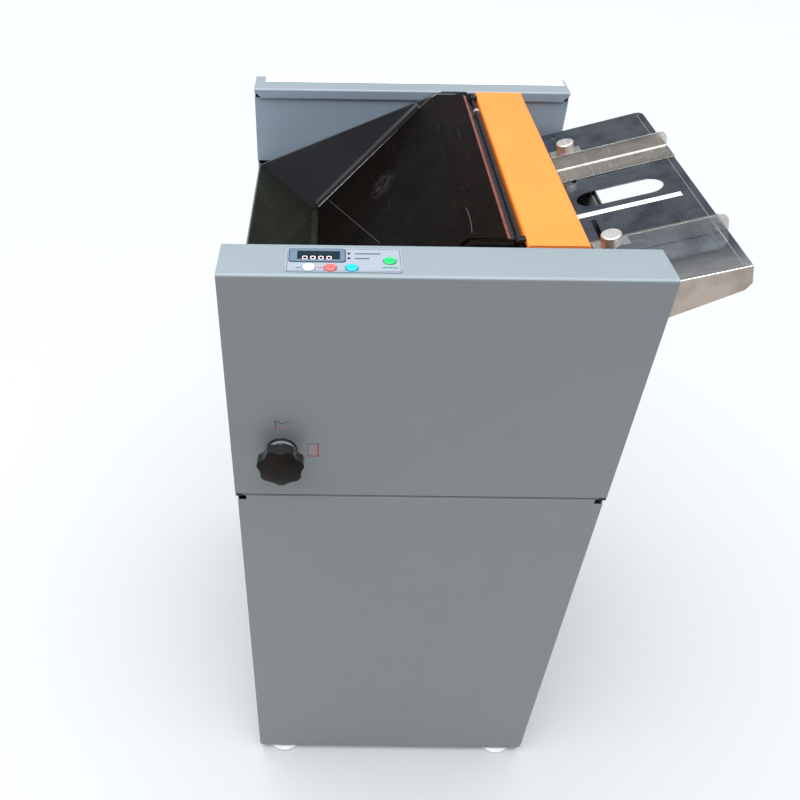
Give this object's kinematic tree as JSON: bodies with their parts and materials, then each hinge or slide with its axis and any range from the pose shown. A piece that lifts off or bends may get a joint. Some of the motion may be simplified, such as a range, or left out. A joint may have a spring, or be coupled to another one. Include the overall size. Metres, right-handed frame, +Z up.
{
  "type": "saddle stitching machine",
  "caption": "Floor-standing saddle stitching and folding machine: steel cabinet, sloping feed tray with side guides, hinged stitching guard, humped cover and V-shaped delivery trough.",
  "frame": {"origin": "middle of the footprint, on the floor", "axes": "+X towards the feed tray, +Y from the operator's face to the back, +Z up"},
  "size_m": [0.6114, 0.641, 1.047],
  "materials": {
    "grey_paint": "fine satin paint",
    "pale_paint": "fine satin paint",
    "orange_paint": "satin paint",
    "stainless": "brushed, nearly mirror bright",
    "steel": "plain steel",
    "dark_steel": "matte dark grey",
    "smoked_acrylic": "polished, lightly scratched",
    "olive_sheet": "polished",
    "rubber": "matte",
    "white_satin": "satin",
    "label_film": "satin film",
    "bezel_blue": "satin",
    "display_glass": "polished",
    "bakelite": "polished",
    "light_plastic": "satin",
    "black_plastic": "satin",
    "board_green": "lacquered",
    "white_button": "satin",
    "red_button": "satin",
    "blue_button": "satin",
    "green_button": "satin"
  },
  "bodies": {
    "cabinet": {"base_plate": "steel", "foot_front_left": "rubber", "foot_front_right": "rubber", "foot_rear_left": "rubber", "foot_rear_right": "rubber", "left_end_panel": "grey_paint", "right_end_panel": "grey_paint", "front_lower_panel": "grey_paint", "rear_lower_panel": "grey_paint", "front_upper_cover": "pale_paint", "rear_upper_cover": "pale_paint", "rear_scale_strip": "white_satin", "front_side_plate": "steel", "rear_side_plate": "steel", "trough_front_plate": "dark_steel", "trough_rear_plate": "dark_steel", "hump_hinge_rod": "steel", "guard_hinge_rod": "steel", "receiving_plate": "olive_sheet", "feed_tray": "stainless", "tray_strip": "white_satin", "tray_bracket": "steel", "stitching_frame": "dark_steel", "inner_table": "steel", "drive_belt": "rubber", "drive_motor": "dark_steel", "control_label": "label_film", "display_bezel": "bezel_blue", "display_window": "display_glass", "lamp_rear": "black_plastic", "lamp_front": "black_plastic", "control_board": "board_green", "mode_switch": "light_plastic", "control_box": "dark_steel", "mains_inlet": "black_plastic"},
    "hump": {"hump_cover": "smoked_acrylic"},
    "guard": {"stitching_guard": "orange_paint"},
    "rear_guide": {"rear_guide": "stainless", "rear_slot_nut": "steel"},
    "front_guide": {"front_guide": "stainless", "front_slot_nut": "steel"},
    "rear_screw": {"rear_thumbscrew": "stainless"},
    "front_screw": {"front_thumbscrew": "stainless"},
    "head_carriage": {"head_beam": "steel", "stitching_head_front": "black_plastic", "stitching_head_rear": "black_plastic"},
    "cam_shaft": {"cam_shaft": "steel"},
    "knife": {"fold_knife": "steel"},
    "paper_stop": {"paper_stop": "black_plastic"},
    "left_roller": {"fold_roller_left": "rubber", "drive_pulley": "steel"},
    "right_roller": {"fold_roller_right": "black_plastic"},
    "motor_shaft": {"motor_pulley": "steel"},
    "white_button": {"button_start_white": "white_button"},
    "red_button": {"button_stop_red": "red_button"},
    "blue_button": {"button_count_blue": "blue_button"},
    "green_button": {"button_go_green": "green_button"},
    "selector": {"mode_knob": "bakelite", "mode_shaft": "steel"}
  },
  "joints": [
    {"name": "hump_hinge", "type": "hinge", "parent": "cabinet", "child": "hump", "pos_m": [0.01227, 0.016, 1.0385], "axis": [0, 1, 0], "range_deg": [0, 65]},
    {"name": "guard_hinge", "type": "hinge", "parent": "cabinet", "child": "guard", "pos_m": [0.03227, 0.016, 1.038], "axis": [0, -1, 0], "range_deg": [0, 80]},
    {"name": "rear_guide_slide", "type": "slide", "parent": "cabinet", "child": "rear_guide", "axis": [0, 1, 0], "range_m": [-0.052, 0.105]},
    {"name": "front_guide_slide", "type": "slide", "parent": "cabinet", "child": "front_guide", "axis": [0, 1, 0], "range_m": [-0.059, 0.098]},
    {"name": "rear_screw_turn", "type": "hinge", "parent": "rear_guide", "child": "rear_screw", "pos_m": [0.1587, 0.1261, 1.0063], "axis": [-0.2729, 0, 0.962], "range_deg": [0, 360]},
    {"name": "front_screw_turn", "type": "hinge", "parent": "front_guide", "child": "front_screw", "pos_m": [0.1587, -0.1406, 1.0063], "axis": [-0.2729, 0, 0.962], "range_deg": [0, 360]},
    {"name": "head_stroke", "type": "slide", "parent": "cabinet", "child": "head_carriage", "axis": [-0.2729, 0, 0.962], "range_m": [-0.012, 0]},
    {"name": "cam_turn", "type": "hinge", "parent": "cabinet", "child": "cam_shaft", "pos_m": [0.1092, 0.016, 0.87999], "axis": [0, 1, 0], "continuous": true},
    {"name": "knife_stroke", "type": "slide", "parent": "cabinet", "child": "knife", "axis": [-0.2729, 0, 0.962], "range_m": [-0.022, 0]},
    {"name": "stop_slide", "type": "slide", "parent": "cabinet", "child": "paper_stop", "axis": [0.962, 0, 0.2729], "range_m": [-0.01, 0.045]},
    {"name": "left_roller_turn", "type": "hinge", "parent": "cabinet", "child": "left_roller", "pos_m": [-0.06539, 0.016, 0.89594], "axis": [0, 1, 0], "continuous": true},
    {"name": "right_roller_turn", "type": "hinge", "parent": "cabinet", "child": "right_roller", "pos_m": [-0.0346, 0.016, 0.90468], "axis": [0, 1, 0], "continuous": true},
    {"name": "motor_turn", "type": "hinge", "parent": "cabinet", "child": "motor_shaft", "pos_m": [-0.03836, -0.1985, 0.8007], "axis": [0, 1, 0], "continuous": true},
    {"name": "white_button_press", "type": "slide", "parent": "cabinet", "child": "white_button", "axis": [0, 0, 1], "range_m": [-0.0015, 0], "stiffness_N_per_m": 300, "springref_m": 0.001},
    {"name": "red_button_press", "type": "slide", "parent": "cabinet", "child": "red_button", "axis": [0, 0, 1], "range_m": [-0.0015, 0], "stiffness_N_per_m": 300, "springref_m": 0.001},
    {"name": "blue_button_press", "type": "slide", "parent": "cabinet", "child": "blue_button", "axis": [0, 0, 1], "range_m": [-0.0015, 0], "stiffness_N_per_m": 300, "springref_m": 0.001},
    {"name": "green_button_press", "type": "slide", "parent": "cabinet", "child": "green_button", "axis": [0, 0, 1], "range_m": [-0.0015, 0], "stiffness_N_per_m": 300, "springref_m": 0.001},
    {"name": "selector_turn", "type": "hinge", "parent": "cabinet", "child": "selector", "pos_m": [-0.24173, -0.2825, 0.787], "axis": [0, 1, 0], "range_deg": [0, 90]}
  ],
  "couplings": [
    {"joint": "right_roller_turn", "follows": "left_roller_turn", "ratio": -1},
    {"joint": "motor_turn", "follows": "left_roller_turn", "ratio": 1.4}
  ]
}
